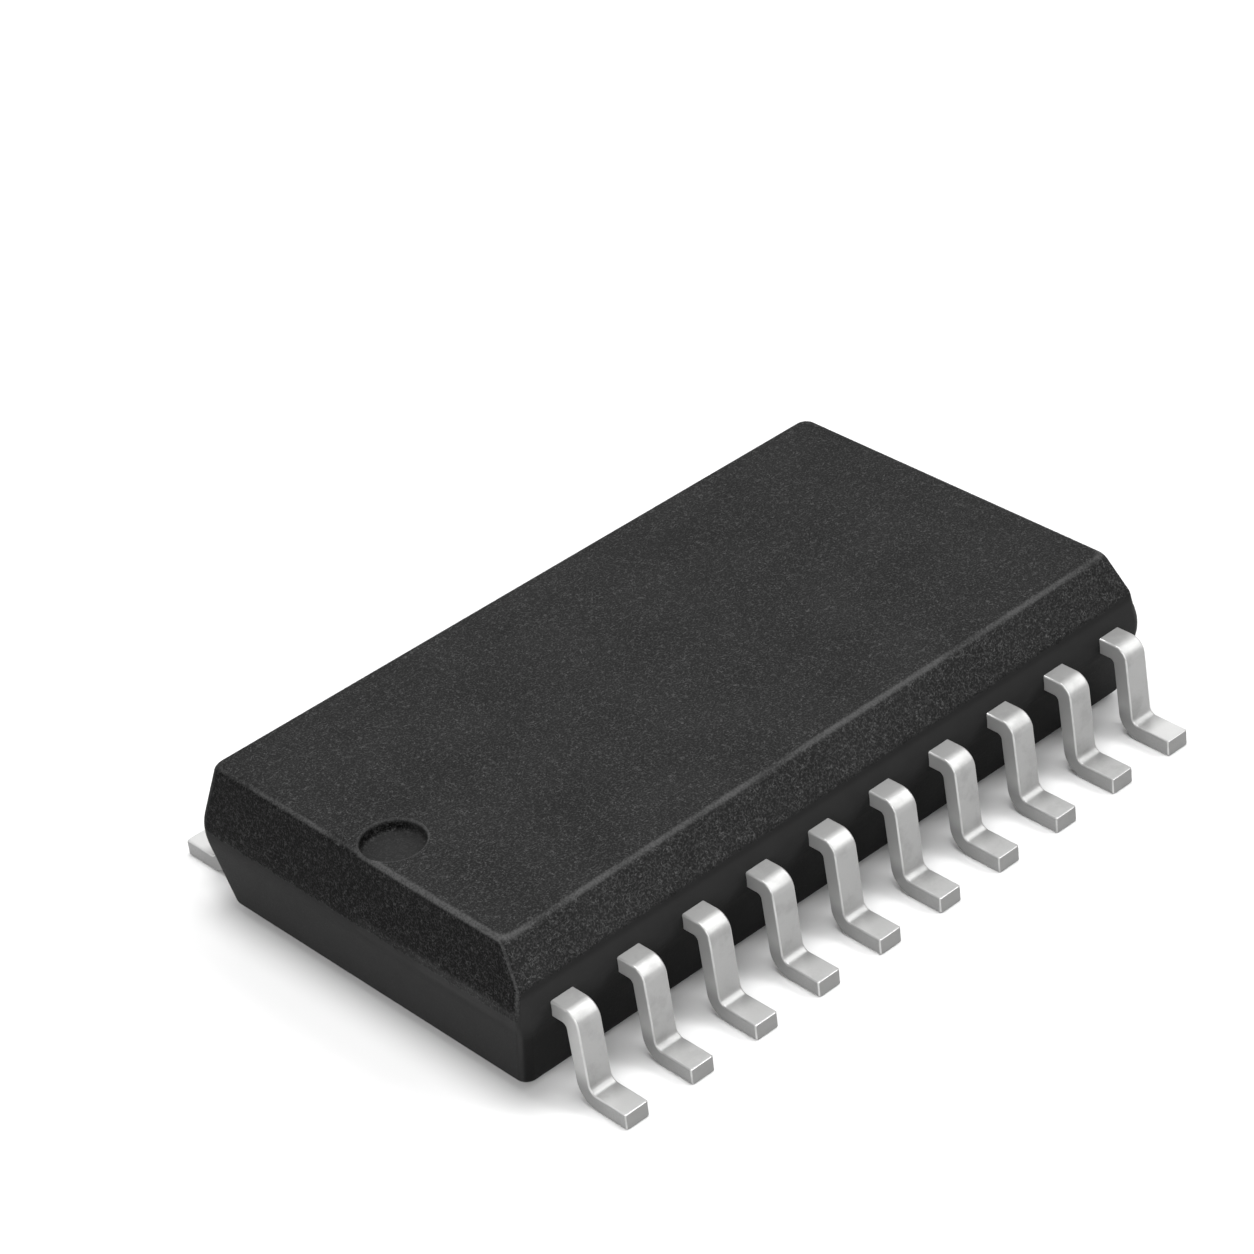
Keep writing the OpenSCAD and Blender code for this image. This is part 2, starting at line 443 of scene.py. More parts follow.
    def tone(self, nodes: Nodes, body: MouldedBody, place: Place, grain: Grain, zones: Zones) -> Sock:
        """Colours the mould, its painted light and shade included, without the painted highlight on its rims.

        Args:
            nodes: builder of the material's tree.
            body: the body, whose heights place the painted shadow on the near side and the darker band below
                the chamfer.
            place: place on the body.
            grain: textures of the grain.
            zones: zones of the body.

        Returns:
            The colour.
        """
        specks, z = grain.specks, place.z
        fleck = grain.wisps * (self.wisp_base + specks) * self.wisp_gain
        fleck = fleck + specks.smooth(*self.speck) * self.speck_gain - self.fleck_mean
        wall_contrast = zones.near.between(self.end_contrast, self.chamfer_contrast)
        level_contrast = zones.floor.between(self.top_contrast, self.dimple_contrast)
        contrast = zones.level.between(wall_contrast, level_contrast)
        light = 1 + contrast * fleck + self.cloud_gain * (grain.cloud - NOISE_MEAN)
        # Lit and shaded copies of one epoxy, face by face: painted light and shade
        upper_wall = nodes.mix(zones.near, self.wall_colour, self.chamfer_colour)
        ground = nodes.mix(zones.level, upper_wall, self.top_colour)
        rough = nodes.scale(ground, light.math("MAXIMUM", self.darkest))
        streak = nodes.noise(place.point, self.streaks_per_mm, detail=3.0).between(*self.streak_tone)
        # Painted shadow on the near side's lower wall, under the leads
        shade = zones.near * z.about(body.parting_z, self.side_shadow_band) * self.side_shadow
        # The near side's smooth wall is a lighter copy of the end's: painted light
        low_wall = nodes.mix(zones.near, self.end_colour, self.side_colour)
        smooth = nodes.scale(low_wall, streak * (1 - shade))
        # The near side darkens in a band just below the chamfer's lower edge
        chamfer_band = z.about(body.chamfer_z, self.chamfer_band_rise) * z.about(body.chamfer_z, self.chamfer_band_fall)
        whole = nodes.mix(zones.grained, smooth, rough)
        return nodes.scale(whole, 1 - zones.near * chamfer_band * self.chamfer_band_darkening)

    def painted_highlight(self, body: MouldedBody, place: Place, grain: Grain, zones: Zones) -> Sock:
        """Finds where a painted highlight lightens the top's rims, the near upright corner and the dimple's
        lip.

        Args:
            body: the body, whose heights place the rims.
            place: place on the body.
            grain: textures that make the painted highlight patchy.
            zones: zones of the body.

        Returns:
            The share of wear.
        """
        _, _, y, z = place
        gap = zones.end_gap
        rim = z.about(body.top_z, self.rim_band) * (1 - zones.top) * (1 - zones.floor)
        upright = gap.smooth(*self.corner_rise) * (1 - gap.smooth(*self.corner_fall))
        height = z.about(body.parting_z, self.corner_height).between(*self.corner_highlight)
        corner = y.smooth(*self.corner_side) * upright * height * (1 - zones.top)
        # Painted highlight along the top's rims, down the near upright corner and round the dimple's lip
        worn = rim + corner + zones.lip * z.about(body.top_z, self.lip_band) * self.lip_highlight
        speckled = grain.specks.smooth(*self.patch).between(*self.highlight_speckle)
        clouded = grain.cloud.smooth(*self.patch).between(*self.highlight_cloud)
        return worn.math("MINIMUM", 1.0) * speckled * clouded

    def material(self, body: MouldedBody) -> bpy.types.Material:
        """Builds the material.

        Args:
            body: the body that it covers.

        Returns:
            The material.
        """
        material, nodes, place = shader(self.name)
        grain = self.grain(nodes, place.point)
        zones = self.zones(body, place, grain.swirl)
        tone = self.tone(nodes, body, place, grain, zones)
        speckle = (grain.specks - NOISE_MEAN) * self.speck_roughness
        relief = (grain.wisps + grain.specks) / 2 * zones.grained.between(*self.grain_relief)
        nodes.surface({
            # The painted highlight pales the rims over the tone
            "Base Color": nodes.mix(self.painted_highlight(body, place, grain, zones), tone, self.rim_highlight_colour),
            "Roughness": zones.grained.between(*self.roughness) + speckle,
            "Specular IOR Level": self.specular,
            "Normal": nodes.bump(relief, self.grain_depth),
        })
        return material


@dataclass(frozen=True)
class TinFinish:
    """Satin tin plate: a fine grain, faint worn clouds and darker sheared toe ends, with painted light: a
    painted highlight on the edges, painted light on the feet and shoulders, and flanks in a lit colour of
    their own with painted shade towards the foot.
    """

    name: str = "satin_tin"
    bright: Colour = (0.300, 0.300, 0.297)
    dull: Colour = (0.235, 0.235, 0.232)
    # The flanks take their own lighter colour, a lit copy of the plate: painted light
    flank: Colour = (0.43, 0.43, 0.426)
    # Painted highlight: the pale colour of the polished edges and the toe's top lip
    edge_highlight_colour: Colour = (0.47, 0.47, 0.466)
    sheared: Colour = (0.21, 0.21, 0.207)
    # Painted light: the feet and the shoulders' tops and bends are made paler where light falls on them
    painted_foot_light: float = 0.62
    painted_shoulder_light: float = 0.20
    shoulder_edge: float = 0.05
    # Painted shade: the flanks darken towards the foot
    painted_flank_shade: float = 0.48
    flank_cover: Span = (0.8, 1.0)
    metallic: float = 0.60
    roughness: float = 0.40
    polished_roughness: float = 0.28
    worn_roughness: float = 0.06
    grain_roughness: float = 0.1
    clouds_per_mm: float = 2.2
    cloud_fineness: float = 0.6
    worn: Span = (0.45, 0.70)
    worn_dulling: float = 0.7
    grains_per_mm: float = 38.0
    grain_dulling: float = 0.3
    grain_depth: float = 0.0015
    edge_share: float = 0.6
    flank_share: float = 0.95
    end_band: Span = (-0.006, -0.002)
    lip_band: Span = (-0.002, 0.004)
    clear_band: Span = (0.0, 0.25)
    patch: Span = (0.35, 0.6)
    patch_polish: Span = (0.4, 1.0)

    def material(self, row: LeadRow) -> bpy.types.Material:
        """Builds the material.

        Args:
            row: a row of leads, whose section and toes place the edges and the ends.

        Returns:
            The material.
        """
        material, nodes, (point, _, y, z) = shader(self.name)
        reach = abs(y)
        cloud = nodes.noise(point, self.clouds_per_mm, detail=3.0, Roughness=self.cloud_fineness)
        grain = nodes.noise(point, self.grains_per_mm)
        speckle = grain - NOISE_MEAN
        worn = cloud.smooth(*self.worn)
        section = nodes.add("ShaderNodeAttribute", {"attribute_name": "section"}, out="Vector")
        across, through = (abs(part) / MM for part in nodes.split(section, "XY"))
        past_side = across - (row.width / 2 - row.edge_r)
        past_face = through - (row.thickness / 2 - row.edge_r)
        edge = past_side.math("MINIMUM", past_face).smooth(0.0, row.edge_r * self.edge_share)
        flank = past_side.smooth(row.edge_r * self.edge_share, row.edge_r * self.flank_share)
        end = reach.about(row.toe_y, self.end_band)
        lip = reach.about(row.toe_y - row.toe_bevel, self.lip_band) * (1 - end)
        clear = reach.about(row.body.half_w, self.clear_band)
        patchy = cloud.smooth(*self.patch).between(*self.patch_polish)
        # Polished edges and toe lip: a real lower roughness and a painted highlight in their pale colour
        polish_and_highlight = edge.math("MAXIMUM", lip) * (1 - end) * patchy * clear
        dulled = worn * self.worn_dulling + speckle * self.grain_dulling
        # Painted light on the feet and on the shoulders' tops and bends
        foot = reach.smooth(row.toe_y - row.foot_l, row.toe_y - row.foot_l / 2)
        shoulder = z.smooth(row.shoulder_z - row.shoulder_out_r, row.shoulder_z - self.shoulder_edge)
        painted_lift = 1 + self.painted_foot_light * foot + self.painted_shoulder_light * shoulder
        lit_plate = nodes.scale(nodes.mix(dulled, self.bright, self.dull), painted_lift)
        # The flanks' lit colour with painted shade towards the foot
        low = z.smooth(2 * row.thickness + row.heel_r, row.thickness)
        cut = nodes.scale(self.flank, 1 - self.painted_flank_shade * low)
        plate = nodes.mix(flank * grain.between(*self.flank_cover), lit_plate, cut)
        nodes.surface({
            "Base Color": nodes.mix(end, nodes.mix(polish_and_highlight, plate, self.edge_highlight_colour), self.sheared),
            "Metallic": self.metallic,
            "Roughness": polish_and_highlight.between(self.roughness, self.polished_roughness)
            + worn * self.worn_roughness
            + speckle * self.grain_roughness,
            "Normal": nodes.bump(grain, self.grain_depth),
        })
        return material


@dataclass(frozen=True)
class MetalFinish:
    """Bare metal inside the mould, with rolling or drawing marks along X."""

    name: str
    colour: Colour
    dull: Colour
    roughness: float
    marks_per_mm: float
    mark_stretch: float = 0.08
    mark_roughness: float = 0.2
    mark_depth: float = 0.002

    def material(self) -> bpy.types.Material:
        """Builds the material.

        Returns:
            The material.
        """
        material, nodes, place = shader(self.name)
        stretch = {"Vector": place.point, "Scale": (self.mark_stretch, 1.0, 1.0)}
        marks = nodes.noise(nodes.add("ShaderNodeMapping", {}, stretch), self.marks_per_mm, detail=3.0)
        nodes.surface({
            "Base Color": nodes.mix(marks, self.colour, self.dull),
            "Metallic": 1.0,
            "Roughness": self.roughness + (marks - NOISE_MEAN) * self.mark_roughness,
            "Normal": nodes.bump(marks, self.mark_depth),
        })
        return material


@dataclass(frozen=True)
class GlueFinish:
    """Metal-filled adhesive with visible flakes."""

    name: str = "filled_glue"
    resin: Colour = (0.36, 0.36, 0.34)
    flake: Colour = (0.72, 0.72, 0.70)
    flakes_per_mm: float = 30.0
    flake_band: Span = (0.45, 0.2)
    flake_metallic: float = 0.8
    flake_depth: float = 0.004
    roughness: Span = (0.6, 0.35)

    def material(self) -> bpy.types.Material:
        """Builds the material.

        Returns:
            The material.
        """
        material, nodes, place = shader(self.name)
        cells = {"Vector": place.point, "Scale": self.flakes_per_mm}
        flakes = nodes.add("ShaderNodeTexVoronoi", {}, cells).smooth(*self.flake_band)
        nodes.surface({
            "Base Color": nodes.mix(flakes, self.resin, self.flake),
            "Metallic": flakes * self.flake_metallic,
            "Roughness": flakes.between(*self.roughness),
            "Normal": nodes.bump(flakes, self.flake_depth),
        })
        return material


@dataclass(frozen=True)
class SiliconFinish:
    """Polished silicon with a faint pattern of circuit blocks under a clear coat."""

    name: str = "polished_silicon"
    ground: Colour = (0.13, 0.14, 0.19)
    block: Colour = (0.24, 0.21, 0.26)
    blocks_per_mm: float = 3.0
    block_band: Span = (0.2, 0.5)
    block_share: float = 0.8
    lines_per_mm: float = 24.0
    line_share: float = 0.2
    metallic: float = 0.35
    roughness: Span = (0.16, 0.26)
    coat: Span = (0.6, 0.8)

    def material(self) -> bpy.types.Material:
        """Builds the material.

        Returns:
            The material.
        """
        material, nodes, place = shader(self.name)
        cells = {"Vector": place.point, "Scale": self.blocks_per_mm}
        blocks = nodes.add("ShaderNodeTexVoronoi", {"distance": "CHEBYCHEV"}, cells).smooth(*self.block_band)
        lines = nodes.noise(place.point, self.lines_per_mm, detail=1.0)
        pattern = blocks * self.block_share + lines * self.line_share
        nodes.surface({
            "Base Color": nodes.mix(pattern, self.ground, self.block),
            "Metallic": self.metallic,
            "Roughness": lines.between(*self.roughness),
            "Coat Weight": lines.between(*self.coat),
        })
        return material


@dataclass(frozen=True)
class FloorFinish:
    """Pale matt paper."""

    name: str = "pale_paper"
    colour: Colour = grey(0.665)
    shade: Colour = grey(0.645)
    fibres_per_mm: float = 0.8
    roughness: float = 0.9
    specular: float = 0.1

    def material(self) -> bpy.types.Material:
        """Builds the material.

        Returns:
            The material.
        """
        material, nodes, place = shader(self.name)
        fibre = nodes.noise(place.point, self.fibres_per_mm, detail=3.0)
        nodes.surface({
            "Base Color": nodes.mix(fibre, self.colour, self.shade),
            "Roughness": self.roughness,
            "Specular IOR Level": self.specular,
        })
        return material


def add_object(name: str, mesh: bpy.types.Mesh) -> bpy.types.Object:
    """Links a mesh into the scene as an object at the origin.

    Args:
        name: name of the object and its mesh.
        mesh: the mesh.

    Returns:
        The object.
    """
    mesh.name = name
    piece = bpy.data.objects.new(name, mesh)
    bpy.context.scene.collection.objects.link(piece)
    return piece


def bake_modifiers(piece: bpy.types.Object) -> None:
    """Turns an object's modifiers into its plain mesh and removes them.

    Args:
        piece: the object.
    """
    depsgraph = bpy.context.evaluated_depsgraph_get()
    mesh = bpy.data.meshes.new_from_object(
        piece.evaluated_get(depsgraph), preserve_all_data_layers=True, depsgraph=depsgraph
    )
    piece.modifiers.clear()
    old = piece.data
    piece.data = mesh
    bpy.data.meshes.remove(old)
    mesh.name = piece.name


def soften(piece: bpy.types.Object, crease_deg: float) -> None:
    """Shades a mesh smooth up to a crease angle, with flat faces kept flat.

    The mesh is enlarged meanwhile, because the modifier passes over faces as small as these.

    Args:
        piece: the object.
        crease_deg: edges bent by more than this stay sharp.
    """
    mesh = piece.data
    mesh.transform(Matrix.Scale(ENLARGED, 4))
    mesh.shade_smooth()
    mesh.set_sharp_from_angle(angle=math.radians(crease_deg))
    weighted = piece.modifiers.new("weighted", "WEIGHTED_NORMAL")
    weighted.keep_sharp = True
    weighted.weight = FULL_WEIGHT
    bake_modifiers(piece)
    piece.data.transform(Matrix.Scale(1 / ENLARGED, 4))


def round_corners(points: Sequence[Point2], radii: Sequence[float], steps: int) -> list[Point2]:
    """Rounds the inner corners of an open line.

    Args:
        points: corners of the line.
        radii: radius at each corner; 0 keeps it sharp.
        steps: number of stretches in each arc.

    Returns:
        The line's points with arcs in place of the rounded corners.
    """
    line: list[Point2] = []
    for i, (point, radius) in enumerate(zip(points, radii)):
        if radius == 0:
            line.append(point)
            continue
        corner = Vector(point)
        back = (Vector(points[i - 1]) - corner).normalized()
        ahead = (Vector(points[i + 1]) - corner).normalized()
        half = back.angle(ahead) / 2
        centre = corner + (back + ahead).normalized() * radius / math.sin(half)
        start = corner + back * radius / math.tan(half) - centre
        sweep = math.pi - 2 * half
        turn = math.copysign(sweep, start.x * (corner - centre).y - start.y * (corner - centre).x)
        for k in range(steps + 1):
            line.append(tuple(centre + Matrix.Rotation(turn * k / steps, 2) @ start))
    return line


def inset_at(line: Sequence[Point2], z: float) -> float:
    """Reads a rising line of (inset, z) points at a height.

    Args:
        line: points from the lowest to the highest.
        z: height.

    Returns:
        The inset at that height.
    """
    for (inset0, z0), (inset1, z1) in zip(line, line[1:]):
        if z <= z1:
            share = 0.0 if z1 == z0 else max(0.0, (z - z0) / (z1 - z0))
            return inset0 + (inset1 - inset0) * share
    return line[-1][0]


def ease(value: float, low: float, high: float) -> float:
    """Runs smoothly from 0 at low to 1 at high."""
    share = min(1.0, max(0.0, (value - low) / (high - low)))
    return share * share * (3 - 2 * share)


def plain_mesh(name: str, vertices: Sequence[Any], faces: Sequence[Sequence[int]]) -> bpy.types.Mesh:
    """Makes a mesh from points and faces.

    Args:
        name: name of the mesh.
        vertices: points in metres.
        faces: point numbers of each face.

    Returns:
        The mesh.
    """
    mesh = bpy.data.meshes.new(name)
    mesh.from_pydata(vertices, [], faces)
    mesh.validate()
    return mesh


def stacked_mesh(name: str, rings: Sequence[Sequence[Sequence[float]]]) -> bpy.types.Mesh:
    """Joins closed rings of points by quads and closes the lowest and the highest ring.

    Args:
        name: name of the mesh.
        rings: points of each ring in millimetres, against the clock, from the lowest ring to the highest.

    Returns:
        The mesh, facing outwards.
    """
    count = len(rings[0])
    vertices = [tuple(part * MM for part in point) for ring in rings for point in ring]
    last = len(vertices) - count
    faces: list[Sequence[int]] = [range(count - 1, -1, -1)]
    for base in range(0, last, count):
        for k in range(count):
            right = (k + 1) % count
            faces.append((base + k, base + right, base + count + right, base + count + k))
    faces.append(range(last, last + count))
    return plain_mesh(name, vertices, faces)


@dataclass(frozen=True)
class Draft:
    """Lean of a pair of walls in degrees from upright, above and below the parting plane."""

    upper: float
    lower: float

    def inset(self, rise: float) -> float:
        """Gives how far a straight wall leans in at a height over the parting plane."""
        return abs(rise) * math.tan(math.radians(self.upper if rise > 0 else self.lower))

    def lean(self, rise: Sock) -> Sock:
        """Gives the same inset for a shader."""
        upper, lower = (math.tan(math.radians(angle)) for angle in (self.upper, self.lower))
        return rise.math("MAXIMUM", 0.0) * upper - rise.math("MINIMUM", 0.0) * lower


@dataclass
class MouldedBody:
    """The black body: drafted halves, round corners and edges, a chamfered long edge and an index dimple."""

    finish: MouldFinish
    ends: Draft = Draft(upper=12.0, lower=7.0)
    sides: Draft = Draft(upper=15.0, lower=15.0)
    lower_h: float = 1.38
    corner_r: float = 0.18
    chamfer_corner_r: float = 0.08
    chamfer_corner_rise: Span = (-0.2, 0.08)
    chamfer_corner_fall: float = 0.3
    edge_r: float = 0.15
    side_parting_r: float = 1.0
    end_parting_r: float = 1.8
    chamfer_w: float = 0.20
    chamfer_h: float = 0.68
    chamfer_r: float = 0.30
    crest_r: float = 0.20
    dimple_d: float = 1.0
    dimple_depth: float = 0.20
    dimple_land: float = 0.03
    dimple_off: float = 0.20
    dimple_rim: float = 0.03
    dimple_floor_r: float = 0.07
    dimple_steps: int = 96
    arc_steps: int = 8
    corner_steps: int = 10
    ring_gap: float = 0.001
    run_out: float = 1.0
    cutter_rise: float = 0.5
    crease_deg: float = 32.0
    half_l: float = field(init=False)
    half_w: float = field(init=False)
    low_z: float = field(init=False)
    top_z: float = field(init=False)

    def __post_init__(self) -> None:
        """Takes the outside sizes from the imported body."""
        low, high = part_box("moulded_body")
        self.half_l = (high.x - low.x) / 2 / MM
        self.half_w = (high.y - low.y) / 2 / MM
        self.low_z = low.z / MM
        self.top_z = high.z / MM

    @property
    def parting_z(self) -> float:
        """Height of the plane where the mould halves meet."""
        return self.low_z + self.lower_h

    @property
    def chamfer_z(self) -> float:
        """Height of the chamfer's lower edge."""
        return self.top_z - self.chamfer_h

    @property
    def top_inset(self) -> float:
        """How far the ends lean in from the parting plane to the top."""
        return self.ends.inset(self.top_z - self.parting_z)

    def dimple_centre(self) -> Vector:
        """Gives the middle of the index dimple at the top."""
        x = -self.half_l + self.top_inset + self.dimple_land + self.dimple_d / 2
        return Vector((x, -self.dimple_off, self.top_z))

    def rounded_wall(self, *corners: tuple[float, float, float]) -> list[Point2]:
        """Rounds the corners of a wall between the underside and the top.

        Args:
            corners: inset, height and radius of each corner, from the lowest to the highest.

        Returns:
            The wall as (inset, z) points.
        """
        line = [(inset, z) for inset, z, _ in corners]
        line = [(self.run_out, self.low_z), *line, (self.run_out, self.top_z)]
        return round_corners(line, [0, *(radius for *_, radius in corners), 0], self.arc_steps)[1:-1]

    def plain_wall(self, draft: Draft, parting_r: float) -> list[Point2]:
        """Gives a plain wall as (inset, z) points.

        Args:
            draft: the wall's lean.
            parting_r: radius at the parting plane.

        Returns:
            Points from the lowest to the highest.
        """
        foot, head = (draft.inset(z - self.parting_z) for z in (self.low_z, self.top_z))
        return self.rounded_wall(
            (foot, self.low_z, self.edge_r),
            (0.0, self.parting_z, parting_r),
            (head, self.top_z, self.edge_r),
        )

    def chamfered_wall(self) -> list[Point2]:
        """Gives the chamfered wall as (inset, z) points.

        Returns:
            Points from the lowest to the highest.
        """
        heights = self.low_z, self.chamfer_z, self.top_z
        foot, knee, head = (self.sides.inset(z - self.parting_z) for z in heights)
        return self.rounded_wall(
            (foot, self.low_z, self.edge_r),
            (0.0, self.parting_z, self.side_parting_r),
            (knee, self.chamfer_z, self.chamfer_r),
            (head + self.chamfer_w, self.top_z, self.crest_r),
        )

    def corner(self, x: float, y: float, radius: float) -> list[Point2]:
        """Draws a rounded corner at the +X end, seen from above.

        Args:
            x: place of the end wall.
            y: place of the side wall; its sign tells the side.
            radius: radius of the corner.

        Returns:
            Points against the clock.
        """
        start = -math.pi / 2 if y < 0 else 0.0
        centre_y = y - math.copysign(radius, y)
        turns = [start + math.pi / 2 * k / self.corner_steps for k in range(self.corner_steps + 1)]
        return [(x - radius + radius * math.cos(t), centre_y + radius * math.sin(t)) for t in turns]

    def outline(self, z: float, end: float, side: float, cut: float) -> list[Point2]:
        """Draws the outline at one height.

        Args:
            z: the height.
            end: inset of the ends.
            side: inset of the plain long side.
            cut: inset of the chamfered long side.

        Returns:
            Points against the clock, from the chamfered side's +X end.
        """
        rise = ease(z, *(self.chamfer_z + step for step in self.chamfer_corner_rise))
        blend = rise * ease(z, self.top_z, self.top_z - self.chamfer_corner_fall)
        near_r = self.corner_r + (self.chamfer_corner_r - self.corner_r) * blend
        right = self.corner(self.half_l - end, cut - self.half_w, near_r)
        right += self.corner(self.half_l - end, self.half_w - side, self.corner_r)
        return right + [(-x, y) for x, y in reversed(right)]

    def shell(self) -> bpy.types.Mesh:
        """Stacks the outlines into a closed mesh.

        Returns:
            The mesh.
        """
        end_line = self.plain_wall(self.ends, self.end_parting_r)
        lines = end_line, self.plain_wall(self.sides, self.side_parting_r), self.chamfered_wall()
        heights = [self.low_z]
        for z in sorted(z for line in lines for _, z in line):
            if heights[-1] + self.ring_gap < z < self.top_z - self.ring_gap:
                heights.append(z)
        heights.append(self.top_z)
        rings = []
        for z in heights:
            end, side, cut = (inset_at(line, z) for line in lines)
            rings.append([(x, y, z) for x, y in self.outline(z, end, side, max(cut, side))])
        return stacked_mesh("moulded_shell", rings)

    def dimple_cutter(self) -> bpy.types.Object:
        """Revolves the solid that the index dimple is cut with.

        Returns:
            The cutter.
        """
        radius, floor, rim_z = self.dimple_d / 2, self.top_z - self.dimple_depth, self.top_z + self.ring_gap
        line = [(0.0, floor), (radius, floor), (radius, rim_z), (radius + self.run_out, rim_z)]
        profile = round_corners(line, [0, self.dimple_floor_r, self.dimple_rim, 0], self.arc_steps)[1:-1]
        profile.append((profile[-1][0], self.top_z + self.cutter_rise))
        centre = self.dimple_centre()
        turns = [2 * math.pi * k / self.dimple_steps for k in range(self.dimple_steps)]
        rings = [
            [(centre.x + r * math.cos(t), centre.y + r * math.sin(t), z) for t in turns] for r, z in profile
        ]
        return add_object("dimple_cutter", stacked_mesh("dimple_cutter", rings))

    def build(self) -> bpy.types.Object:
        """Makes the shell, cuts the dimple and smooths the result.

        Returns:
            The finished piece.
        """
        piece = add_object("moulded_shell", self.shell())
        cutter = self.dimple_cutter()
        cut = piece.modifiers.new("dimple", "BOOLEAN")
        cut.operation = "DIFFERENCE"
        cut.solver = "EXACT"
        cut.object = cutter
        bake_modifiers(piece)
        bpy.data.objects.remove(cutter)
        soften(piece, self.crease_deg)
        return self.dress(piece)

    def dress(self, piece: bpy.types.Object) -> bpy.types.Object:
        """Gives the piece its finish and its place in the part.

        Args:
            piece: the shell.

        Returns:
            The same piece.
        """
        piece.data.materials.clear()
        piece.data.materials.append(self.finish.material(self))
        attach(piece, BODY)
        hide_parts("moulded_body")
        return piece


class LeadTree(Nodes):
    """Geometry tree that grows a row of leads, with one named input for each size."""

    KINDS = {int: "NodeSocketInt", float: "NodeSocketFloat", Vector: "NodeSocketVector"}
    # Taken from the number of stations, it leaves a limit that only the last station's index exceeds
    LAST_STATION = 1.5

    def __init__(self, row: LeadRow) -> None:
        """Makes the tree and its inputs.

        Args:
            row: the row that the sizes come from.
        """
        super().__init__(bpy.data.node_groups.new("lead_row", "GeometryNodeTree"))
        self.row = row
        panel = self.tree.interface
        for name, value in row.sizes().items():
            panel.new_socket(name, in_out="INPUT", socket_type=self.KINDS[type(value)])
        panel.new_socket("Material", in_out="INPUT", socket_type="NodeSocketMaterial")
        panel.new_socket("Geometry", in_out="OUTPUT", socket_type="NodeSocketGeometry")
        given = self.tree.nodes.new("NodeGroupInput")
        self.size = {socket.name: Sock(self, socket) for socket in given.outputs if socket.name}

    def build(self) -> bpy.types.NodeTree:
        """Links one bent lead, its copies along the row, their fingers and their side of the body.

        Returns:
            The tree.
        """
        lead = self.bend(self.straight_strip())
        copies = self.add("GeometryNodeInstanceOnPoints", {}, {"Points": self.row_points(), "Instance": lead})
        solid = self.add("GeometryNodeRealizeInstances", {}, {"Geometry": copies})
        turn = {"Geometry": self.fan_in(solid), "Rotation": self.join(Z=self.size["Turn"])}
        turned = self.add("GeometryNodeTransform", {}, turn)
        whole = self.add("GeometryNodeRealizeInstances", {}, {"Geometry": turned})
        plate = {"Geometry": whole, "Material": self.size["Material"]}
        dressed = self.add("GeometryNodeSetMaterial", {}, plate)
        self.add("NodeGroupOutput", {}, {"Geometry": dressed})
        return self.tree

    def bent_line(self, line: str) -> Sock:
        """Draws one line of the side view with its bends.

        Args:
            line: name of the line.

        Returns:
            The curve from the tip to the toe.
        """
        names = [f"{line} {name}" for name, *_ in self.row.lines()[line]]
        corners = self.add("GeometryNodeMeshLine", {"mode": "OFFSET"}, {"Count": len(names)})
        placed = self.move(corners, self.pick("VECTOR", names))
        curve = self.add("GeometryNodeMeshToCurve", {}, {"Mesh": placed})
        radii = self.pick("FLOAT", [f"{name} Radius" for name in names])
        return self.fillet(curve, self.row.bend_steps, radii)

    def straight_strip(self) -> Sock:
        """Sweeps a round-edged section past as many stations as the bent lines have points.

        Returns:
            A straight strip that keeps each point's station and its place in the section as attributes.
        """
        flat = {"Width": self.size["Width"], "Height": self.size["Thickness"]}
        oblong = self.add("GeometryNodeCurvePrimitiveQuadrilateral", {}, flat)
        section = self.fillet(oblong, self.row.edge_steps, self.size["Edge Radius"])
        profile = self.keep(section, "FLOAT_VECTOR", "section", self.add("GeometryNodeInputPosition"))
        steps = {"Count": self.station_count(), "Offset": (0.0, MM, 0.0)}
        spine = self.add("GeometryNodeMeshLine", {"mode": "OFFSET"}, steps)
        numbered = self.keep(spine, "FLOAT", "station", self.add("GeometryNodeInputIndex"))
        path = self.add("GeometryNodeMeshToCurve", {}, {"Mesh": numbered})
        sweep = {"Curve": path, "Profile Curve": profile, "Fill Caps": True}
        return self.add("GeometryNodeFlipFaces", {}, {"Mesh": self.add("GeometryNodeCurveToMesh", {}, sweep)})

    def station_count(self) -> Sock:
        """Counts the points of a bent line."""
        curve = {"Geometry": self.bent_line("Top")}
        return self.add("GeometryNodeAttributeDomainSize", {"component": "CURVE"}, curve, "Point Count")

    def rail(self, line: str, station: Sock) -> Sock:
        """Reads the place of a station on a bent line.

        Args:
            line: name of the line.
            station: number of the station.

        Returns:
            The place.
        """
        sample = {
            "Geometry": self.bent_line(line),
            "Value": self.add("GeometryNodeInputPosition"),
            "Index": station,
        }
        return self.add("GeometryNodeSampleIndex", {"data_type": "FLOAT_VECTOR", "domain": "POINT"}, sample)

    def bend(self, strip: Sock) -> Sock:
        """Moves each station of the straight strip between the top and the low line.

        Args:
            strip: the straight strip.

        Returns:
            The bent lead in the plane X = 0.
        """
        station = self.kept("FLOAT", "station")
        across, through = self.split(self.kept("FLOAT_VECTOR", "section"), "XY")
        last = station.math("GREATER_THAN", self.station_count() - self.LAST_STATION)
        shrink = last.between(1.0, self.size["Toe Scale"])
        rails = {
            "Factor_Float": through * shrink / self.size["Thickness"] + 0.5,
            "A_Vector": self.rail("Low", station),
            "B_Vector": self.rail("Top", station),
        }
        middle = self.add("ShaderNodeMix", {"data_type": "VECTOR"}, rails, "Result_Vector")
        sideways = self.join(X=across * shrink)
        spot = self.add("ShaderNodeVectorMath", {"operation": "ADD"}, {0: middle, 1: sideways})
        return self.move(strip, spot)

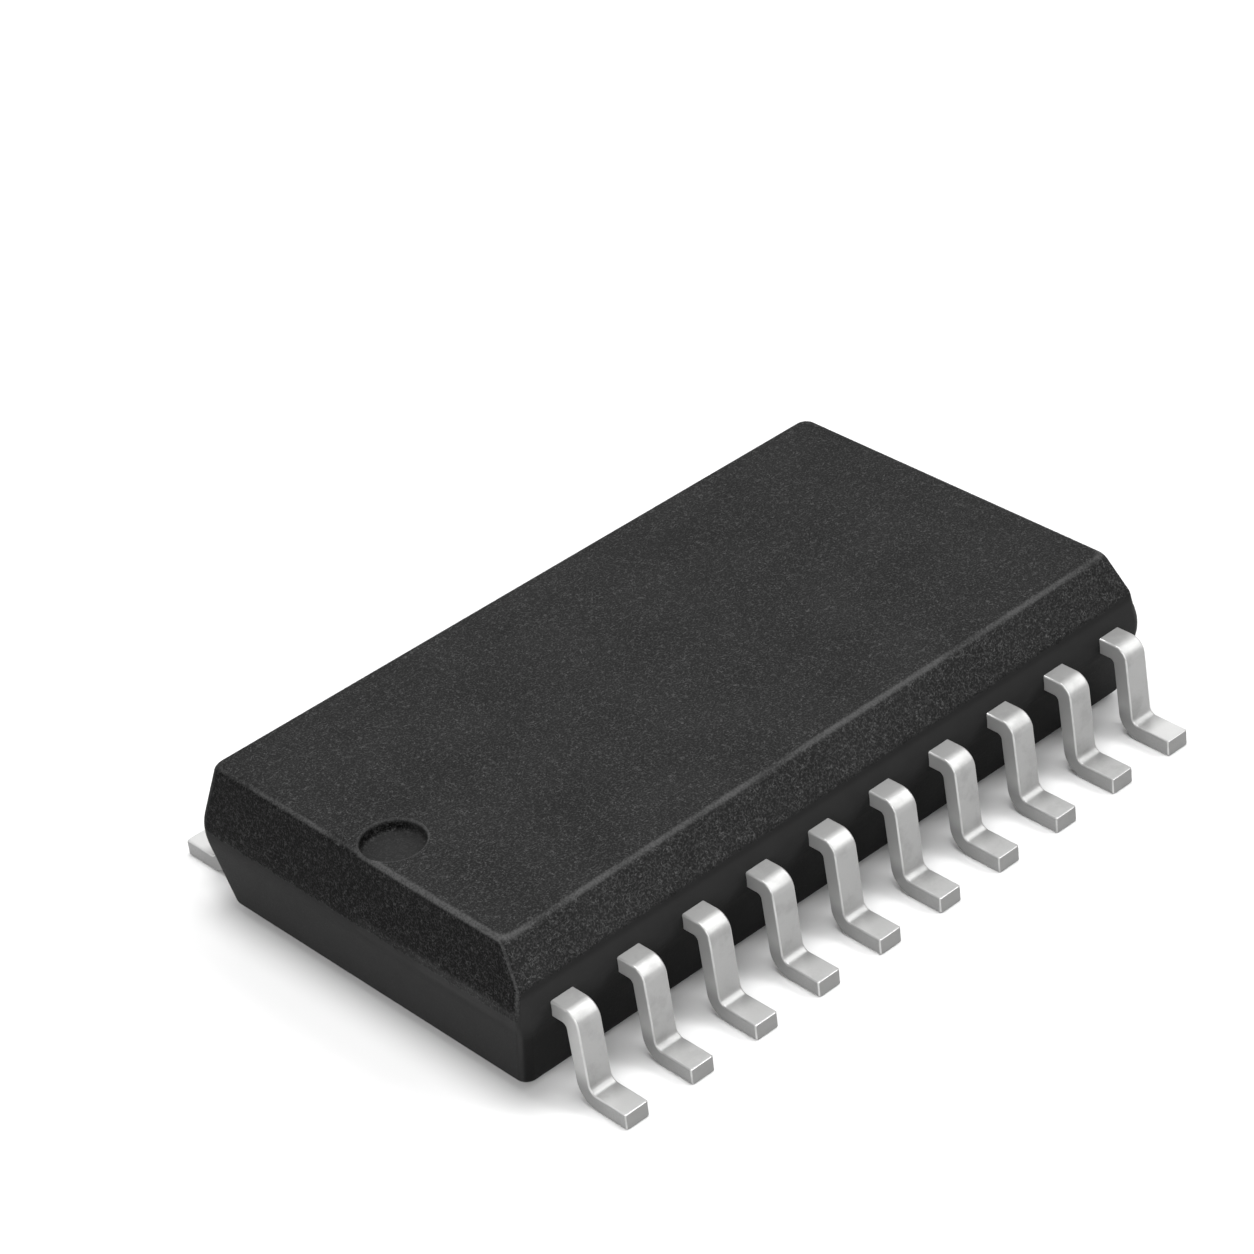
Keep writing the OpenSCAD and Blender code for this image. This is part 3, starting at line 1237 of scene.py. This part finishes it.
    def row_points(self) -> Sock:
        """Lays one point for each lead along X.

        Returns:
            The points, with their X kept as the attribute row_x.
        """
        count, pitch = self.size["Count"], self.size["Pitch"]
        start = self.join(X=(count - 1) * pitch * -0.5)
        steps = {"Count": count, "Start Location": start, "Offset": self.join(X=pitch)}
        points = self.add("GeometryNodeMeshLine", {"mode": "OFFSET"}, steps)
        return self.keep(points, "FLOAT", "row_x", *self.split(self.add("GeometryNodeInputPosition"), "X"))

    def fan_in(self, solid: Sock) -> Sock:
        """Draws the fingers inside the mould together towards the die pad.

        Args:
            solid: the row's mesh with straight fingers.

        Returns:
            The mesh with fanned and tapered fingers.
        """
        x, y, z = self.split(self.add("GeometryNodeInputPosition"), "XYZ")
        row_x = self.kept("FLOAT", "row_x")
        root, tip = self.size["Root Y"], self.size["Tip Y"]
        inward = ((root - y) / (root - tip)).math("MAXIMUM", 0.0)
        centre = row_x * inward.between(1.0, self.size["Fan"])
        across = (x - row_x) * inward.between(1.0, self.size["Taper"])
        return self.move(solid, self.join(X=centre + across, Y=y, Z=z))

    def fillet(self, curve: Sock, steps: int, radius: Sock) -> Sock:
        """Rounds the corners of a curve by arcs of so many steps."""
        sockets = {"Curve": curve, "Count": steps, "Radius": radius}
        return self.add("GeometryNodeFilletCurve", {"mode": "POLY"}, sockets)

    def move(self, geometry: Sock, spot: Sock) -> Sock:
        """Moves each point of a geometry to its own spot."""
        return self.add("GeometryNodeSetPosition", {}, {"Geometry": geometry, "Position": spot})

    def keep(self, geometry: Sock, kind: str, name: str, value: Sock) -> Sock:
        """Stores a value on the points of a geometry under a name."""
        sockets = {"Geometry": geometry, "Name": name, "Value": value}
        return self.add("GeometryNodeStoreNamedAttribute", {"data_type": kind, "domain": "POINT"}, sockets)

    def kept(self, kind: str, name: str) -> Sock:
        """Reads a stored value back."""
        return self.add("GeometryNodeInputNamedAttribute", {"data_type": kind}, {"Name": name}, "Attribute")

    def pick(self, kind: str, names: Sequence[str]) -> Sock:
        """Gives each point of a line its own input by the point's number.

        Args:
            kind: data type of the inputs.
            names: names of the inputs, one for each point.

        Returns:
            The field of values.
        """
        node = self.tree.nodes.new("GeometryNodeIndexSwitch")
        node.data_type = kind
        while len(node.index_switch_items) < len(names):
            node.index_switch_items.new()
        self.fill(node.inputs["Index"], self.add("GeometryNodeInputIndex"))
        for number, name in enumerate(names):
            self.fill(node.inputs[number + 1], self.size[name])
        return Sock(self, node.outputs[0])


@dataclass
class LeadRow:
    """One row of bent leads, stretched between a top and a low line and fanned in towards the die pad."""

    side: Side
    body: MouldedBody
    pitch: float = 1.27
    width: float = 0.44
    thickness: float = 0.28
    foot_l: float = 0.61
    shank_lean: float = 4.0
    shoulder_r: float = 0.08
    shoulder_out_r: float = 0.26
    heel_r: float = 0.12
    root_l: float = 0.55
    tip_y: float = 1.75
    tip_span: float = 6.8
    tip_w: float = 0.30
    edge_r: float = 0.03
    toe_bevel: float = 0.025
    toe_scale: float = 0.90
    toe_gap: float = 0.0005
    bend_steps: int = 10
    edge_steps: int = 3
    crease_deg: float = 40.0
    toe_y: float = field(init=False)

    def __post_init__(self) -> None:
        """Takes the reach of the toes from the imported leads, less a hair for rounding."""
        low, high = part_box(self.side.nodes()[0])
        self.toe_y = max(abs(low.y), abs(high.y)) / MM - self.toe_gap

    @property
    def shoulder_z(self) -> float:
        """Height of the shoulders' tops."""
        return self.body.parting_z + self.thickness / 2

    @property
    def root_y(self) -> float:
        """Where the straight root ends and the finger starts to fan in."""
        return self.body.half_w - self.root_l

    def lines(self) -> dict[str, list[tuple[str, float, float, float]]]:
        """Works out the lead's side view.

        Returns:
            For the top and the low line, the name, Y, Z and bend radius of each corner from tip to toe.
        """
        lean, thick = math.radians(self.shank_lean), self.thickness
        slope, across = math.tan(lean), thick / math.cos(lean)
        top, low = self.shoulder_z, self.shoulder_z - thick
        heel = self.toe_y - self.foot_l - (self.heel_r + thick) / math.tan((math.pi / 2 + lean) / 2)
        nose = self.toe_y - self.toe_bevel
        return {
            "Top": [
                ("Tip", self.tip_y, top, 0.0),
                ("Root", self.root_y, top, 0.0),
                ("Shoulder", heel + across - top * slope, top, self.shoulder_out_r),
                ("Heel", heel + across - thick * slope, thick, self.heel_r),
                ("Nose", nose, thick, 0.0),
                ("Toe", self.toe_y, thick, 0.0),
            ],
            "Low": [
                ("Tip", self.tip_y, low, 0.0),
                ("Root", self.root_y, low, 0.0),
                ("Shoulder", heel - low * slope, low, self.shoulder_r),
                ("Heel", heel, 0.0, self.heel_r + thick),
                ("Nose", nose, 0.0, 0.0),
                ("Toe", self.toe_y, 0.0, 0.0),
            ],
        }

    def sizes(self) -> dict[str, Any]:
        """Gives the tree's inputs.

        Returns:
            Values in metres, radians and shares by the input's name.
        """
        values: dict[str, Any] = {
            "Count": len(self.side.leads),
            "Pitch": self.pitch * MM,
            "Width": self.width * MM,
            "Thickness": self.thickness * MM,
            "Edge Radius": self.edge_r * MM,
            "Toe Scale": self.toe_scale,
            "Tip Y": self.tip_y * MM,
            "Root Y": self.root_y * MM,
            "Fan": self.tip_span / (len(self.side.leads) - 1) / self.pitch,
            "Taper": self.tip_w / self.width,
            "Turn": self.side.turn,
        }
        for line, corners in self.lines().items():
            for name, y, z, radius in corners:
                values[f"{line} {name}"] = Vector((0.0, y, z)) * MM
                values[f"{line} {name} Radius"] = radius * MM
        return values

    def build(self, plate: bpy.types.Material) -> bpy.types.Object:
        """Runs the tree and turns the row into a plain mesh.

        Args:
            plate: material of the leads.

        Returns:
            The finished piece.
        """
        piece = add_object(f"lead_row_{self.side.label}", bpy.data.meshes.new("lead_row"))
        grow = piece.modifiers.new("lead_row", "NODES")
        grow.node_group = LeadTree(self).build()
        values = {**self.sizes(), "Material": plate}
        for item in grow.node_group.interface.items_tree:
            if item.in_out == "INPUT":
                grow[item.identifier] = values[item.name]
        bake_modifiers(piece)
        soften(piece, self.crease_deg)
        return self.dress(piece)

    def dress(self, piece: bpy.types.Object) -> bpy.types.Object:
        """Gives the row its place in the part.

        Args:
            piece: the row.

        Returns:
            The same piece.
        """
        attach(piece, BODY)
        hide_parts(*self.side.nodes())
        return piece


@dataclass
class Inside:
    """The pieces that the mould hides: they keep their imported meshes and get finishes."""

    copper: MetalFinish = MetalFinish(
        "rolled_copper", colour=(0.72, 0.42, 0.27), dull=(0.58, 0.32, 0.20), roughness=0.32, marks_per_mm=14.0
    )
    wire: MetalFinish = MetalFinish(
        "drawn_wire", colour=(0.86, 0.64, 0.26), dull=(0.76, 0.54, 0.20), roughness=0.22, marks_per_mm=30.0
    )
    glue: GlueFinish = GlueFinish()
    silicon: SiliconFinish = SiliconFinish()

    def dress(self) -> list[bpy.types.Object]:
        """Assigns a finish to each hidden node.

        Returns:
            The dressed nodes.
        """
        finishes = {
            "die_pad": self.copper.material(),
            "die_attach": self.glue.material(),
            "die": self.silicon.material(),
            "bond_wires": self.wire.material(),
        }
        for name, material in finishes.items():
            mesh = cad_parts[name].data
            mesh.materials.clear()
            mesh.materials.append(material)
        return [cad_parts[name] for name in finishes]


@dataclass(frozen=True)
class Softbox:
    """A soft light panel that faces the chip, with its long side turned along a direction."""

    name: str
    towards: Colour
    distance: float
    width: float
    length: float
    radiance: float
    along: Colour = (0.0, 1.0, 0.0)

    def hang(self) -> None:
        """Hangs the light at its distance along its direction."""
        light = bpy.data.lights.new(self.name, "AREA")
        light.shape = "RECTANGLE"
        light.size, light.size_y = self.width * MM, self.length * MM
        light.energy = self.radiance * math.pi * light.size * light.size_y
        lamp = bpy.data.objects.new(self.name, light)
        back = Vector(self.towards).normalized()
        across = Vector(self.along).cross(back).normalized()
        turn = Matrix((across, back.cross(across), back)).transposed()
        lamp.matrix_world = Matrix.Translation(back * self.distance * MM) @ turn.to_4x4()
        bpy.context.scene.collection.objects.link(lamp)


@dataclass
class Studio:
    """Pale floor, soft light from above and the camera at the photograph's angle."""

    floor_finish: FloorFinish = FloorFinish()
    floor_half: float = 600.0
    azimuth: float = -39.156
    elevation: float = 33.579
    roll: float = -6.868
    distance: float = 64.181
    across: float = 0.935
    down: float = 2.660
    focal_pixels: float = 4153.726
    sensor: float = 36.0
    clip: Span = (1.0, 10000.0)
    world_strength: float = 0.40
    lights: tuple[Softbox, ...] = (
        Softbox("overhead", (0.0, 0.0, 1.0), distance=100.0, width=46.0, length=46.0, radiance=13.5),
        Softbox(
            "key", (0.526, -0.48, 0.70), distance=170.0, width=50.0, length=230.0, radiance=7.0,
            along=(0.0, 0.824, 0.567),
        ),
        Softbox("fill", (-0.8, -0.5, 0.35), distance=50.0, width=26.0, length=26.0, radiance=6.5),
        Softbox("back", (0.526, 0.646, 0.553), distance=190.0, width=110.0, length=110.0, radiance=1.6),
        Softbox("rim", (-0.555, 0.64, 0.53), distance=190.0, width=80.0, length=80.0, radiance=2.5),
    )

    def floor(self) -> None:
        """Lays the floor."""
        half = self.floor_half * MM
        corners = [(-half, -half, 0), (half, -half, 0), (half, half, 0), (-half, half, 0)]
        piece = add_object("floor", plain_mesh("floor", corners, [(0, 1, 2, 3)]))
        piece.data.materials.append(self.floor_finish.material())

    def world(self) -> None:
        """Fills the room with an even dim light."""
        world = bpy.data.worlds.new("studio")
        world.use_nodes = True
        nodes = Nodes(world.node_tree)
        colour = {"Color": rgba(grey(1.0)), "Strength": self.world_strength}
        glow = nodes.add("ShaderNodeBackground", {}, colour)
        nodes.add("ShaderNodeOutputWorld", {}, {"Surface": glow})
        bpy.context.scene.world = world

    def camera(self) -> None:
        """Places the camera."""
        azimuth, elevation, roll = (math.radians(v) for v in (self.azimuth, self.elevation, self.roll))
        forward = -Vector((
            math.sin(azimuth) * math.cos(elevation),
            -math.cos(azimuth) * math.cos(elevation),
            math.sin(elevation),
        ))
        level_right = forward.cross(Vector((0, 0, 1))).normalized()
        level_up = level_right.cross(forward)
        right = level_right * math.cos(roll) + level_up * math.sin(roll)
        up = level_up * math.cos(roll) - level_right * math.sin(roll)
        eye = -(right * self.across - up * self.down + forward * self.distance)
        turn = Matrix((right, up, -forward)).transposed()
        lens = bpy.data.cameras.new("camera")
        lens.sensor_width = self.sensor
        lens.lens = self.focal_pixels / PHOTO_PIXELS * self.sensor
        lens.clip_start, lens.clip_end = (limit * MM for limit in self.clip)
        camera = bpy.data.objects.new("camera", lens)
        camera.matrix_world = Matrix.Translation(eye * MM) @ turn.to_4x4()
        bpy.context.scene.collection.objects.link(camera)
        bpy.context.scene.camera = camera

    def build(self) -> None:
        """Sets up the whole studio."""
        bpy.context.scene.view_settings.view_transform = "Standard"
        self.floor()
        self.world()
        for light in self.lights:
            light.hang()
        self.camera()


def main() -> None:
    """Builds the chip and the studio."""
    logging.basicConfig(level=logging.INFO, format="%(name)s: %(message)s")
    body = MouldedBody(MouldFinish())
    pieces = [body.build()]
    rows = [LeadRow(side, body) for side in Side]
    plate = TinFinish().material(rows[0])
    pieces += [row.build(plate) for row in rows]
    pieces += Inside().dress()
    for piece in pieces:
        log.info("%s: %d faces", piece.name, len(piece.data.polygons))
    Studio().build()


if __name__ == "__main__":
    main()
